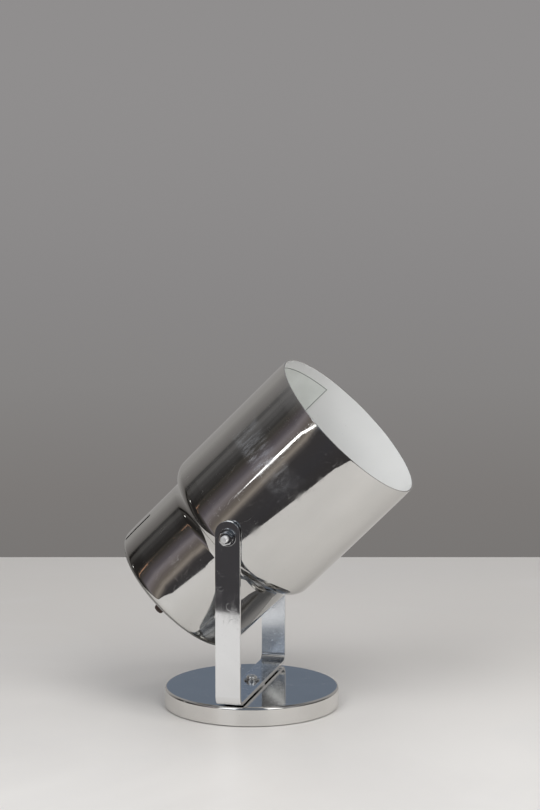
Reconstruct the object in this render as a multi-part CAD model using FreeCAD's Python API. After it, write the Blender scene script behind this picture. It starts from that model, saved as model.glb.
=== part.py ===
import FreeCAD
import Part

import math
import os

from FreeCAD import Placement, Rotation, Vector

# Tabletop searchlight lamp: a two-step chromed can that tilts in a U-shaped yoke over a weighted foot.
# Millimetres, +Z up.  The origin is the centre of the foot's underside, on the table.
# The head looks towards +X and tilts about an axis along Y.
# It is built standing on its own axis: its Z runs from the rear wall to the rim, with the tilt axis
# through its origin along Y and its top side towards -X.  It is leaned back and lifted at the end.

# Foot
foot_diameter = 100.4
foot_height = 11.2
cover_gauge = 1.2
cover_edge_radius = 1.0
cover_inner_corner_radius = 0.4
cover_lift = 0.6
pad_thickness = 1.4
pad_margin = 0.4
weight_margin = 0.3
weight_edge_radius = 0.8

# Yoke, a flat strip bent into a U
strip_width = 14.2
strip_gauge = 2.0
strip_edge_break = 0.3
arm_gap = 1.1
bend_inner_radius = 3.9
spacer_height = 1.1
spacer_diameter = 15.0
pivot_height = 108.0
arm_top_above_pivot = 9.0

# Head
rest_tilt = 45.0
can_gauge = 0.8
shade_diameter = 100.8
rear_diameter = 87.8
rim_station = 79.9
rear_station = -62.4
rear_edge_radius = 4.2

# Shoulder between the cans: the shade's wall bends in over a sleeve that the rear can flares into
shoulder_station = -4.4
shoulder_angle = 48.0
shoulder_bend_ratio = 1.23
shoulder_edge_run = 0.2
sleeve_fit = 0.05
sleeve_washer_clearance = 0.3

# Vent slots on the top of the rear can
slot_count = 3
slot_width = 2.4
slot_start = -59.0
slot_end = -37.5
slot_spacing_angle = 19.0

# Screws and nuts: M4 for the pivots and the foot, M3 for the bracket
m4_diameter = 4.0
m4_head_diameter = 7.6
m4_head_height = 2.8
m4_nut_flats = 7.0
m4_nut_height = 3.2
m4_washer_diameter = 10.0
m4_washer_gauge = 1.0
m4_lock_diameter = 7.4
m4_lock_gauge = 1.1
m3_diameter = 3.0
m3_head_diameter = 5.6
m3_head_height = 2.2
m3_nut_flats = 5.5
m3_nut_height = 2.4
recess_ratio = 0.6
recess_width_ratio = 0.13
recess_depth_ratio = 0.6
head_dome_ratio = 0.45
nut_chamfer_ratio = 0.6
point_chamfer = 0.4
lock_slit = 0.9
hole_clearance = 0.2
running_clearance = 0.08
face_clearance = 0.05
cut_margin = 1.0

# Pivot stack
pivot_end_beyond_arm = 8.3
inner_washer_diameter = 9.0
inner_washer_gauge = 0.8
pivot_spacer_diameter = 12.0

# Screw in the middle of the foot, M4 with a small head
centre_head_diameter = 6.2
centre_head_height = 2.0
centre_washer_diameter = 9.0
centre_washer_gauge = 0.8

# Nut pocket in the foot's weight
pocket_depth = 5.2
pocket_diameter = 11.0
centre_screw_tail = 0.6

# Lamp holder on its bracket
bracket_gauge = 1.2
bracket_width = 14.0
bracket_bend_radius = 0.6
bracket_leg_inner = 14.5
bracket_foot_reach = 26.0
bracket_hole_offset = 20.5
bracket_front_station = -37.0
bracket_screw_tail = 0.8
nipple_diameter = 9.6
nipple_bore = 7.0
nipple_behind_nut = 0.8
nipple_engagement = 5.5
nipple_nut_flats = 14.0
nipple_nut_height = 3.0
socket_diameter = 38.0
socket_length = 32.0
socket_floor = 8.7
socket_bore = 29.0
socket_edge_radius = 1.5
socket_heel_radius = 3.0
shell_gauge = 0.4
shell_recess = 1.0
contact_gauge = 0.6
contact_diameter = 9.0

# Reflector bulb
bulb_front_station = 55.0
bulb_diameter = 50.0
bulb_neck_diameter = 25.0
bulb_wall = 0.9
bulb_neck_end_station = 4.0
bulb_flare_end_station = 26.0
bulb_shoulder_station = 47.0
bulb_face_diameter = 34.0
bulb_neck_bend = 10.0
bulb_flare_bend = 12.0
bulb_shoulder_bend = 10.0
bulb_face_bend = 14.0
bulb_seat_taper = 1.2
cap_diameter = 26.2
cap_gauge = 0.5
cap_floor = 3.0
cap_rear_gap = 2.4
cap_front_station = -2.0
bulb_contact_diameter = 8.0
bulb_contact_tip_ratio = 0.6
thread_pitch = 3.6
thread_depth = 0.7
thread_bend = 0.8

# Rotary switch
switch_diameter = 24.0
switch_length = 16.0
switch_edge_radius = 1.0
bushing_diameter = 9.5
bushing_beyond_wall = 5.2
switch_nut_flats = 13.0
switch_nut_height = 2.5
shaft_diameter = 4.0
shaft_depth_in_switch = 8.0
knob_gap = 0.3
knob_tip_station = -79.4
knob_root_diameter = 7.0
knob_tip_diameter = 5.6
knob_tip_radius = 1.2
knob_flutes = 12
knob_flute_radius = 0.5
knob_collar_length = 1.5
knob_collar_radius = 0.3
knob_bore_depth = 7.0
lead_diameter = 1.7
lead_spacing = 3.6

# Cord outlet in the rear wall
grommet_offset = 27.0
grommet_hole = 10.0
grommet_flange_diameter = 14.0
grommet_flange_gauge = 1.6
grommet_bore = 6.4

# Paper label inside the shade
label_gauge = 0.15
label_front_station = 74.2
label_rear_station = 44.0
label_first_angle = -18.0
label_last_angle = 60.0

# Worked out from the sizes above
foot_radius = foot_diameter / 2
cover_top = foot_height
cover_inner_top = foot_height - cover_gauge
strip_low = cover_top + spacer_height
strip_high = strip_low + strip_gauge
shade_radius = shade_diameter / 2
arm_inner = shade_radius + arm_gap
arm_outer = arm_inner + strip_gauge
rear_radius = rear_diameter / 2
shade_inner_radius = shade_radius - can_gauge
rear_inner_station = rear_station + can_gauge
sleeve_radius = shade_inner_radius - sleeve_fit
sleeve_station = -inner_washer_diameter / 2 - sleeve_washer_clearance
bracket_rear_station = bracket_front_station - bracket_gauge
socket_front_station = bracket_front_station + socket_length
socket_floor_station = bracket_front_station + socket_floor
nipple_front_station = bracket_front_station + nipple_engagement
nipple_rear_station = bracket_rear_station - nipple_nut_height - nipple_behind_nut
switch_front_station = rear_inner_station + switch_length
bushing_end_station = rear_station - bushing_beyond_wall
knob_front_station = bushing_end_station - knob_gap

# How near two numbers lie to count as the same
same_point = 1e-6
same_share = 0.01

x_axis = Vector(1, 0, 0)
y_axis = Vector(0, 1, 0)
z_axis = Vector(0, 0, 1)


def rod(diameter, low, high):
    return Part.makeCylinder(diameter / 2, high - low, Vector(0, 0, low))


def ring(outer_diameter, inner_diameter, low, high):
    return rod(outer_diameter, low, high).cut(rod(inner_diameter, low, high))


def outline_face(corners, to_point):
    # corners are (across, up, radius); a corner with a radius becomes a tangent arc
    points = [Vector(across, up, 0) for across, up, _ in corners]
    joins = []
    for index, (_, _, radius) in enumerate(corners):
        here = points[index]
        back = (points[index - 1] - here).normalize()
        ahead = (points[(index + 1) % len(points)] - here).normalize()
        if radius <= 0:
            joins.append((here, None, here))
            continue
        half_angle = back.getAngle(ahead) / 2
        setback = radius / math.tan(half_angle)
        bisector = (back + ahead).normalize()
        middle = here + bisector * (radius / math.sin(half_angle) - radius)
        joins.append((here + back * setback, middle, here + ahead * setback))
    edges = []
    for index, (start, middle, end) in enumerate(joins):
        if middle is not None:
            edges.append(Part.Arc(to_point(start), to_point(middle), to_point(end)).toShape())
        following = joins[(index + 1) % len(joins)][0]
        if (following - end).Length > same_point:
            edges.append(Part.LineSegment(to_point(end), to_point(following)).toShape())
    return Part.Face(Part.Wire(Part.sortEdges(edges)[0]))


def in_xz(point):
    return Vector(point.x, 0, point.y)


def in_yz(point):
    return Vector(0, point.x, point.y)


def turned(corners):
    return outline_face(corners, in_xz).revolve(Vector(0, 0, 0), z_axis, 360)


def round_ended(half_width, low, high, to_point):
    # a strip with a square lower end and a half circle on its upper end
    start = Vector(-half_width, low, 0)
    left = Vector(-half_width, high - half_width, 0)
    top = Vector(0, high, 0)
    right = Vector(half_width, high - half_width, 0)
    end = Vector(half_width, low, 0)
    edges = [Part.LineSegment(to_point(start), to_point(left)).toShape(),
             Part.Arc(to_point(left), to_point(top), to_point(right)).toShape(),
             Part.LineSegment(to_point(right), to_point(end)).toShape(),
             Part.LineSegment(to_point(end), to_point(start)).toShape()]
    return Part.Face(Part.Wire(edges))


def hex_prism(flats, low, high):
    # the corners are chamfered as on a bought nut
    corner = flats / math.sqrt(3)
    points = [Vector(corner * math.cos(math.radians(60 * k)), corner * math.sin(math.radians(60 * k)), low)
              for k in range(6)]
    prism = Part.Face(Part.makePolygon(points + points[:1])).extrude(Vector(0, 0, high - low))
    chamfer = (corner - flats / 2) * nut_chamfer_ratio
    envelope = turned([(0, low, 0), (flats / 2, low, 0), (corner, low + chamfer, 0),
                       (corner, high - chamfer, 0), (flats / 2, high, 0), (0, high, 0)])
    return prism.common(envelope)


def nut(flats, bore, low, high):
    return hex_prism(flats, low, high).cut(rod(bore, low, high))


def cross_screw(diameter, head_diameter, head_height, length):
    # the head's bearing face lies at zero, the shank runs down and the recess is cut from above
    dome = head_height * head_dome_ratio
    head = turned([(0, 0, 0), (head_diameter / 2, 0, 0), (head_diameter / 2, head_height, dome),
                   (0, head_height, 0)])
    shank = turned([(0, -length, 0), (diameter / 2 - point_chamfer, -length, 0),
                    (diameter / 2, -length + point_chamfer, 0), (diameter / 2, 0, 0), (0, 0, 0)])
    screw = head.fuse(shank)
    span = head_diameter * recess_ratio
    width = head_diameter * recess_width_ratio
    depth = head_height * recess_depth_ratio
    for turn in (0, 90):
        slot = Part.makeBox(span, width, depth, Vector(-span / 2, -width / 2, head_height - depth))
        slot.rotate(Vector(0, 0, 0), z_axis, turn)
        screw = screw.cut(slot)
    return screw


def lock_washer(outer_diameter, inner_diameter, low, high):
    washer = ring(outer_diameter, inner_diameter, low, high)
    slit = Part.makeBox(outer_diameter, lock_slit, high - low, Vector(0, -lock_slit / 2, low))
    return washer.cut(slit)


def moved(shape, offset):
    copy = shape.copy()
    copy.translate(offset)
    return copy


def along_y(shape, side):
    # turns a piece built along Z so that its Z points out of the given side, +1 or -1
    copy = shape.copy()
    copy.rotate(Vector(0, 0, 0), x_axis, -90 * side)
    return copy


def both_sides(shape):
    return Part.makeCompound([along_y(shape, 1), along_y(shape, -1)])


def make_foot():
    low = cover_lift
    inner = foot_radius - cover_gauge
    cover = turned([(0, cover_inner_top, 0), (inner, cover_inner_top, cover_inner_corner_radius),
                    (inner, low, 0), (foot_radius, low, 0), (foot_radius, cover_top, cover_edge_radius),
                    (0, cover_top, 0)])
    screw_hole = rod(m4_diameter + hole_clearance, -cut_margin, foot_height + cut_margin)
    weight_diameter = 2 * (inner - weight_margin)
    weight = turned([(0, pad_thickness, 0), (weight_diameter / 2, pad_thickness, 0),
                     (weight_diameter / 2, cover_inner_top, weight_edge_radius), (0, cover_inner_top, 0)])
    pocket_top = pad_thickness + pocket_depth
    weight = weight.cut(rod(pocket_diameter, pad_thickness, pocket_top)).cut(screw_hole)
    pad = rod(weight_diameter - 2 * pad_margin, 0, pad_thickness)
    lock_low = pocket_top - m4_lock_gauge
    nut_low = lock_low - m4_nut_height
    washer_low = strip_high + face_clearance
    head_seat = washer_low + centre_washer_gauge
    length = head_seat - nut_low + centre_screw_tail
    screw = cross_screw(m4_diameter, centre_head_diameter, centre_head_height, length)
    return {
        "base_cover": cover.cut(screw_hole),
        "base_weight": weight,
        "foot_pad": pad,
        "yoke_spacer": ring(spacer_diameter, m4_diameter + hole_clearance, cover_top,
                            strip_low - face_clearance),
        "centre_screw": moved(screw, Vector(0, 0, head_seat)),
        "centre_washer": ring(centre_washer_diameter, m4_diameter + hole_clearance, washer_low, head_seat),
        "centre_lock_washer": lock_washer(m4_lock_diameter, m4_diameter + hole_clearance, lock_low,
                                          pocket_top),
        "centre_nut": nut(m4_nut_flats, m4_diameter, nut_low, lock_low),
    }


def make_yoke():
    top = pivot_height + arm_top_above_pivot
    outer_radius = bend_inner_radius + strip_gauge
    strip = outline_face([(-arm_outer, top, 0), (-arm_outer, strip_low, outer_radius),
                          (arm_outer, strip_low, outer_radius), (arm_outer, top, 0), (arm_inner, top, 0),
                          (arm_inner, strip_high, bend_inner_radius),
                          (-arm_inner, strip_high, bend_inner_radius), (-arm_inner, top, 0)], in_yz)
    half = strip_width / 2
    strip = moved(strip.extrude(Vector(strip_width, 0, 0)), Vector(-half, 0, 0))
    silhouette = round_ended(half, strip_low, top, in_xz)
    silhouette = moved(silhouette.extrude(Vector(0, 2 * arm_outer, 0)), Vector(0, -arm_outer, 0))
    yoke = strip.common(silhouette)
    yoke = yoke.makeFillet(strip_edge_break, [edge for edge in yoke.Edges if is_side_edge(edge, half)])
    pivot_hole = Part.makeCylinder(m4_diameter / 2 + running_clearance, 2 * arm_outer,
                                   Vector(0, -arm_outer, pivot_height), y_axis)
    centre_hole = rod(m4_diameter + 2 * running_clearance, strip_low, strip_high)
    return {"yoke": yoke.cut(pivot_hole).cut(centre_hole)}


def is_side_edge(edge, half):
    middle = edge.valueAt((edge.FirstParameter + edge.LastParameter) / 2)
    tangent = edge.tangentAt((edge.FirstParameter + edge.LastParameter) / 2)
    return abs(abs(middle.x) - half) < same_share * half and abs(tangent.x) < same_share


def make_cans():
    # both walls bend by the shoulder's angle, so every corner of an inner face moves up by gauge_rise
    angle = math.radians(shoulder_angle)
    bend_reach = math.tan(angle / 2)
    gauge_rise = can_gauge * bend_reach
    bend = (shade_radius - rear_radius) * shoulder_bend_ratio
    corner = shoulder_station - bend * bend_reach
    run = bend * bend_reach + shoulder_edge_run
    edge_radius = shade_radius - run * math.sin(angle)
    edge_station = corner - run * math.cos(angle)
    shade = turned([(shade_radius, rim_station, 0), (shade_radius, corner, bend),
                    (edge_radius, edge_station, 0),
                    (edge_radius - can_gauge * math.cos(angle),
                     edge_station + can_gauge * math.sin(angle), 0),
                    (shade_inner_radius, corner + gauge_rise, bend - can_gauge),
                    (shade_inner_radius, rim_station, 0)])
    pivot_hole = Part.makeCylinder((m4_diameter + hole_clearance) / 2, 2 * shade_diameter,
                                   Vector(0, -shade_diameter, 0), y_axis)
    inner = rear_radius - can_gauge
    inset = shade_radius - sleeve_radius
    sleeve_bend = bend - inset
    sleeve_corner = corner + inset * bend_reach
    flare = sleeve_radius - rear_radius
    neck_corner = sleeve_corner - flare / math.tan(angle)
    neck_bend = flare / math.sin(angle) / bend_reach - sleeve_bend
    rear = turned([(0, rear_station, 0), (rear_radius, rear_station, rear_edge_radius),
                   (rear_radius, neck_corner, neck_bend), (sleeve_radius, sleeve_corner, sleeve_bend),
                   (sleeve_radius, 0, 0), (sleeve_radius - can_gauge, 0, 0),
                   (sleeve_radius - can_gauge, sleeve_corner + gauge_rise, sleeve_bend - can_gauge),
                   (inner, neck_corner + gauge_rise, neck_bend + can_gauge),
                   (inner, rear_inner_station, rear_edge_radius - can_gauge), (0, rear_inner_station, 0)])
    rear = rear.cut(rod(shade_diameter, sleeve_station, cut_margin))
    low = rear_station - cut_margin
    high = rear_inner_station + cut_margin
    rear = rear.cut(rod(bushing_diameter + hole_clearance, low, high))
    for side in (-1, 1):
        hole = rod(m3_diameter + hole_clearance, low, high)
        rear = rear.cut(moved(hole, Vector(0, side * bracket_hole_offset, 0)))
    rear = rear.cut(moved(rod(grommet_hole, low, high), Vector(grommet_offset, 0, 0)))
    for index in range(slot_count):
        angle = (index - (slot_count - 1) / 2) * slot_spacing_angle
        rear = rear.cut(slot_cutter(angle))
    return {"front_shade": shade.cut(pivot_hole), "rear_housing": rear}


def slot_cutter(angle):
    # a round-ended slot through the top wall, which faces -X, turned about the head's axis
    half = slot_width / 2
    upper = round_ended(half, slot_start + half, slot_end, in_yz).extrude(Vector(-rear_diameter, 0, 0))
    lower = Part.makeCylinder(half, rear_diameter, Vector(0, 0, slot_start + half), Vector(-1, 0, 0))
    cutter = upper.fuse(lower)
    cutter.rotate(Vector(0, 0, 0), z_axis, angle)
    return cutter


def make_pivots():
    # built along Z outwards from the head's axis, then laid to both sides
    edge_drop = shade_inner_radius - math.sqrt(shade_inner_radius ** 2 - (inner_washer_diameter / 2) ** 2)
    washer_face = shade_inner_radius - edge_drop - face_clearance
    head_seat = washer_face - inner_washer_gauge
    outer_seat = arm_outer + face_clearance
    lock_low = outer_seat + m4_washer_gauge
    nut_low = lock_low + m4_lock_gauge
    screw_end = arm_outer + pivot_end_beyond_arm
    screw = cross_screw(m4_diameter, m4_head_diameter, m4_head_height, screw_end - head_seat)
    screw.rotate(Vector(0, 0, 0), x_axis, 180)
    bore = m4_diameter + hole_clearance
    return {
        "pivot_screws": both_sides(moved(screw, Vector(0, 0, head_seat))),
        "inner_washers": both_sides(ring(inner_washer_diameter, bore, head_seat, washer_face)),
        "pivot_spacers": both_sides(ring(pivot_spacer_diameter, bore, shade_radius + face_clearance,
                                         arm_inner - face_clearance)),
        "pivot_washers": both_sides(ring(m4_washer_diameter, bore, outer_seat, lock_low)),
        "pivot_lock_washers": both_sides(lock_washer(m4_lock_diameter, bore, lock_low, nut_low)),
        "pivot_nuts": both_sides(nut(m4_nut_flats, m4_diameter, nut_low, nut_low + m4_nut_height)),
    }


def make_bracket():
    low = rear_inner_station
    foot_top = low + bracket_gauge
    inner = bracket_leg_inner
    outer = inner + bracket_gauge
    reach = bracket_foot_reach
    front = bracket_front_station
    rear = bracket_rear_station
    small = bracket_bend_radius
    large = bracket_bend_radius + bracket_gauge
    strap = outline_face([(-reach, low, 0), (-inner, low, large), (-inner, rear, small), (inner, rear, small),
                          (inner, low, large), (reach, low, 0), (reach, foot_top, 0),
                          (outer, foot_top, small), (outer, front, large), (-outer, front, large),
                          (-outer, foot_top, small), (-reach, foot_top, 0)], in_yz)
    strap = moved(strap.extrude(Vector(bracket_width, 0, 0)), Vector(-bracket_width / 2, 0, 0))
    strap = strap.cut(rod(nipple_diameter + hole_clearance, rear - cut_margin, front + cut_margin))
    screw_length = can_gauge + bracket_gauge + m3_nut_height + bracket_screw_tail
    screw = cross_screw(m3_diameter, m3_head_diameter, m3_head_height, screw_length)
    screw.rotate(Vector(0, 0, 0), x_axis, 180)
    screws = []
    nuts = []
    for side in (-1, 1):
        offset = Vector(0, side * bracket_hole_offset, 0)
        hole = rod(m3_diameter + hole_clearance, low - cut_margin, foot_top + cut_margin)
        strap = strap.cut(moved(hole, offset))
        screws.append(moved(screw, offset + Vector(0, 0, rear_station)))
        nuts.append(moved(nut(m3_nut_flats, m3_diameter, foot_top, foot_top + m3_nut_height), offset))
    return {
        "socket_bracket": strap,
        "bracket_screws": Part.makeCompound(screws),
        "bracket_nuts": Part.makeCompound(nuts),
    }


def make_holder():
    nut_low = bracket_rear_station - nipple_nut_height
    body = turned([(0, bracket_front_station, 0),
                   (socket_diameter / 2, bracket_front_station, socket_heel_radius),
                   (socket_diameter / 2, socket_front_station, socket_edge_radius),
                   (socket_bore / 2, socket_front_station, 0), (socket_bore / 2, socket_floor_station, 0),
                   (0, socket_floor_station, 0)])
    body = body.cut(rod(nipple_diameter, bracket_front_station, nipple_front_station))
    shell_outer = socket_bore / 2 - face_clearance
    shell = ring(2 * shell_outer, 2 * (shell_outer - shell_gauge), socket_floor_station,
                 socket_front_station - shell_recess)
    return {
        "nipple": ring(nipple_diameter, nipple_bore, nipple_rear_station, nipple_front_station),
        "nipple_nut": nut(nipple_nut_flats, nipple_diameter, nut_low, bracket_rear_station),
        "socket_body": body,
        "screw_shell": shell,
        "centre_contact": rod(contact_diameter, socket_floor_station, socket_floor_station + contact_gauge),
    }


def make_bulb():
    contact_low = socket_floor_station + contact_gauge
    cap_low = contact_low + cap_rear_gap
    cap_floor_top = cap_low + cap_floor
    cap_radius = cap_diameter / 2
    contact_radius = bulb_contact_diameter / 2
    cap_inner = cap_radius - thread_depth - cap_gauge
    threads = []
    for index in range(int((cap_front_station - cap_floor_top) / thread_pitch)):
        station = cap_floor_top + index * thread_pitch
        threads.append((cap_radius, station, thread_bend))
        threads.append((cap_radius - thread_depth, station + thread_pitch / 2, thread_bend))
    cap = turned([(0, cap_low, 0), (contact_radius, cap_low, 0)] + threads
                 + [(cap_radius, cap_front_station, 0), (cap_inner, cap_front_station, 0),
                    (cap_inner, cap_floor_top, 0), (0, cap_floor_top, 0)])
    seat = cap_inner - face_clearance
    seat_front = cap_front_station + bulb_seat_taper
    neck_start = seat_front + bulb_seat_taper
    outside = bulb_outline(0)
    inside = bulb_outline(bulb_wall)
    inside.reverse()
    neck_low = cap_floor_top + face_clearance
    neck_radius = bulb_neck_diameter / 2
    glass = turned([(seat - bulb_wall, neck_low, 0), (seat, neck_low, 0), (seat, seat_front, 0),
                    (neck_radius, neck_start, 0)] + outside + inside
                   + [(neck_radius - bulb_wall, neck_start, 0), (seat - bulb_wall, seat_front, 0)])
    contact = turned([(0, contact_low, 0), (contact_radius * bulb_contact_tip_ratio, contact_low, 0),
                      (contact_radius, cap_low, 0), (0, cap_low, 0)])
    return {"bulb_glass": glass, "bulb_cap": cap, "bulb_contact": contact}


def bulb_outline(depth):
    # the reflector shape from its neck to the middle of its face, set in from the outside by depth
    neck = bulb_neck_diameter / 2 - depth
    widest = bulb_diameter / 2 - depth
    face = bulb_face_diameter / 2 - depth / 2
    return [(neck, bulb_neck_end_station + depth / 2, bulb_neck_bend + depth),
            (widest, bulb_flare_end_station + depth / 2, bulb_flare_bend - depth),
            (widest, bulb_shoulder_station - depth / 2, bulb_shoulder_bend - depth),
            (face, bulb_front_station - depth, bulb_face_bend - depth),
            (0, bulb_front_station - depth, 0)]


def make_switch():
    body = turned([(0, rear_inner_station, 0), (switch_diameter / 2, rear_inner_station, 0),
                   (switch_diameter / 2, switch_front_station, switch_edge_radius),
                   (0, switch_front_station, 0)])
    shaft_bore = shaft_diameter + 2 * running_clearance
    shaft_front = rear_inner_station + shaft_depth_in_switch
    body = body.cut(rod(shaft_bore, rear_inner_station, shaft_front + face_clearance))
    bushing = ring(bushing_diameter, shaft_bore, bushing_end_station, rear_inner_station)
    nut_high = rear_station
    return {
        "switch_body": body,
        "switch_bushing": bushing,
        "switch_nut": nut(switch_nut_flats, bushing_diameter, nut_high - switch_nut_height, nut_high),
        "switch_shaft": rod(shaft_diameter, knob_front_station - knob_bore_depth, shaft_front),
        "switch_knob": make_knob(),
        "switch_leads": make_leads(),
    }


def make_knob():
    root = knob_root_diameter / 2
    tip = knob_tip_diameter / 2
    knob = turned([(0, knob_tip_station, 0), (tip, knob_tip_station, knob_tip_radius),
                   (root, knob_front_station, knob_collar_radius), (0, knob_front_station, 0)])
    flute = rod(2 * knob_flute_radius, knob_tip_station, knob_front_station - knob_collar_length)
    for index in range(knob_flutes):
        cutter = moved(flute, Vector(root, 0, 0))
        cutter.rotate(Vector(0, 0, 0), z_axis, index * 360 / knob_flutes)
        knob = knob.cut(cutter)
    return knob.cut(rod(shaft_diameter, knob_front_station - knob_bore_depth, knob_front_station))


def make_leads():
    leads = []
    for side in (-1, 1):
        lead = rod(lead_diameter, switch_front_station, nipple_front_station)
        leads.append(moved(lead, Vector(side * lead_spacing / 2, 0, 0)))
    return Part.makeCompound(leads)


def make_outlet_and_label():
    neck = grommet_hole - 2 * face_clearance
    outside = ring(grommet_flange_diameter, grommet_bore, rear_station - grommet_flange_gauge, rear_station)
    inside = ring(grommet_flange_diameter, grommet_bore, rear_inner_station,
                  rear_inner_station + grommet_flange_gauge)
    grommet = outside.fuse(inside).fuse(ring(neck, grommet_bore, rear_station, rear_inner_station))
    label_outer = 2 * shade_inner_radius
    label = ring(label_outer, label_outer - 2 * label_gauge, label_rear_station, label_front_station)
    wedge = Part.makeCylinder(shade_radius, label_front_station - label_rear_station,
                              Vector(0, 0, label_rear_station), z_axis, label_last_angle - label_first_angle)
    wedge.rotate(Vector(0, 0, 0), z_axis, 180 - label_last_angle)
    return {
        "cord_grommet": moved(grommet.removeSplitter(), Vector(grommet_offset, 0, 0)),
        "label_blank": label.common(wedge),
    }


def main():
    os.makedirs("parts", exist_ok=True)
    head = {}
    for made in (make_cans(), make_pivots(), make_bracket(), make_holder(), make_bulb(), make_switch(),
                 make_outlet_and_label()):
        head.update(made)
    lean = Placement(Vector(0, 0, pivot_height), Rotation(y_axis, 90 - rest_tilt))
    pieces = {}
    pieces.update(make_foot())
    pieces.update(make_yoke())
    for name, shape in head.items():
        placed = shape.copy()
        placed.Placement = lean.multiply(placed.Placement)
        pieces[name] = placed
    for name, shape in pieces.items():
        assert shape.isValid(), name
        shape.exportStep(f"parts/{name}.step")
        print(f"{name}: {len(shape.Solids)} solid(s), {shape.Volume:.1f} mm3")


main()
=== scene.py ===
import math

import bmesh
import bpy
from mathutils import Matrix, Vector


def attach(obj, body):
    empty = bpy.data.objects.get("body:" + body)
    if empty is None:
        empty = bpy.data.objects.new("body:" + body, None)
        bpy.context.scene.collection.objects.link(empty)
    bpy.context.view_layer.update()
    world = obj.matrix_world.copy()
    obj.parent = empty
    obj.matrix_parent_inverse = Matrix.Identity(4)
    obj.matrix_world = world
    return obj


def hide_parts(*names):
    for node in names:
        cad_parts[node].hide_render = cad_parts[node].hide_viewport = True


# Tabletop searchlight lamp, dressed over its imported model.
# The numbers in the dictionaries are millimetres and degrees; a finished piece is in metres, where the model has it.
# Head pieces are made standing on the head's own axis: Z runs from the rear wall to the rim, -X is the top side.

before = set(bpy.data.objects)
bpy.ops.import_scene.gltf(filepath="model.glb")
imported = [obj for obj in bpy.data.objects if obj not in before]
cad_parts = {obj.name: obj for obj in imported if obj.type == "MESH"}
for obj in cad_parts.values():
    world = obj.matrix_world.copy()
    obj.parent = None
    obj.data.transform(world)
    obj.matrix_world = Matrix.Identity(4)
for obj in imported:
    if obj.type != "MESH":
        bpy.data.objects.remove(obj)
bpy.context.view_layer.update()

lamp = {
    "pivotHeight": 108.0,
    "tilt": 45.0,
    "footRadius": 50.2,
    "footTop": 11.2,
    "stripLow": 12.0,
    "stripGauge": 2.0,
    "stripWidth": 14.2,
    "armOuter": 53.5,
    "shadeRadius": 50.4,
    "rearRadius": 43.9,
    "wall": 0.8,
}
upright = Matrix.Identity(4)
leaned = Matrix.Translation((0, 0, lamp["pivotHeight"])) @ Matrix.Rotation(math.radians(lamp["tilt"]), 4, "Y")


# ---- modelling helpers

def only(geometry, kind):
    return [item for item in geometry if isinstance(item, kind)]


def thickened(bm, vec):
    # draws a flat outline's faces out into a solid
    pushed = bmesh.ops.extrude_face_region(bm, geom=bm.faces[:])["geom"]
    bmesh.ops.translate(bm, vec=vec, verts=only(pushed, bmesh.types.BMVert))


def welded(bm, distance=0.0005):
    bmesh.ops.remove_doubles(bm, verts=bm.verts[:], dist=distance)
    bmesh.ops.recalc_face_normals(bm, faces=bm.faces[:])
    return bm


def swept(bm, degrees, steps, **options):
    # turns what is there about the piece's own axis
    bmesh.ops.spin(bm, geom=bm.verts[:] + bm.edges[:] + bm.faces[:], cent=(0, 0, 0), axis=(0, 0, 1),
                   dvec=(0, 0, 0), angle=math.radians(degrees), steps=steps, use_duplicate=False, **options)


def brokenEdges(bm, offset, segments):
    # takes the sharpness off a bent strip's edges
    rims = [edge for edge in bm.edges if len(edge.link_faces) == 2 and edge.calc_face_angle(0) > math.radians(60)]
    bmesh.ops.bevel(bm, geom=rims, offset=offset, offset_type="OFFSET", segments=segments, profile=0.5,
                    affect="EDGES", material=-1, clamp_overlap=True)


def shapeOf(bm):
    # the piece as a mesh, when the piece itself is done with
    mesh = bpy.data.meshes.new("passing")
    bm.to_mesh(mesh)
    bm.free()
    return mesh


def wire(corners, closed=False):
    # corners are (radius, height, rounding); a corner with a rounding becomes an arc of that radius
    bm = bmesh.new()
    verts = [bm.verts.new((across, 0, up)) for across, up, rounding in corners]
    ends = verts[1:] + verts[:1] if closed else verts[1:]
    for start, end in zip(verts, ends):
        bm.edges.new((start, end))
    for vert, (across, up, rounding) in zip(verts, corners):
        if rounding > 0:
            before, after = [edge.other_vert(vert).co - vert.co for edge in vert.link_edges]
            turn = math.pi - before.angle(after)
            segments = max(3, min(14, round(rounding * turn * 2.5)))
            bmesh.ops.bevel(bm, geom=[vert], offset=rounding * math.tan(turn / 2) * 0.999, offset_type="OFFSET",
                            segments=segments, profile=0.5, affect="VERTICES", material=-1)
    return bm


def turned(corners, steps=96, closed=False):
    bm = wire(corners, closed)
    swept(bm, 360, steps, use_merge=True)
    return welded(bm)


def ring(outer, bore, low, high, rounding=0.12, steps=64):
    return turned([(outer / 2, low, rounding), (outer / 2, high, rounding), (bore / 2, high, rounding),
                   (bore / 2, low, rounding)], steps, closed=True)


def placed(bm, matrix):
    bmesh.ops.transform(bm, matrix=matrix, verts=bm.verts[:])
    return bm


def inScene(name, data):
    item = bpy.data.objects.new(name, data)
    bpy.context.scene.collection.objects.link(item)
    return item


def joined(parts):
    whole = bmesh.new()
    for part in parts:
        mesh = shapeOf(part)
        whole.from_mesh(mesh)
        bpy.data.meshes.remove(mesh)
    return whole


def cutAway(bm, cutter):
    # takes the cutter's shape out of the piece
    held = []
    for part in (bm, cutter):
        held.append(inScene("passing", shapeOf(part)))
    modifier = held[0].modifiers.new("cut", "BOOLEAN")
    modifier.operation = "DIFFERENCE"
    modifier.solver = "EXACT"
    modifier.object = held[1]
    result = bpy.data.meshes.new_from_object(held[0].evaluated_get(bpy.context.evaluated_depsgraph_get()))
    whole = bmesh.new()
    whole.from_mesh(result)
    bpy.data.meshes.remove(result)
    for item in held:
        mesh = item.data
        bpy.data.objects.remove(item)
        bpy.data.meshes.remove(mesh)
    return whole


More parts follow.
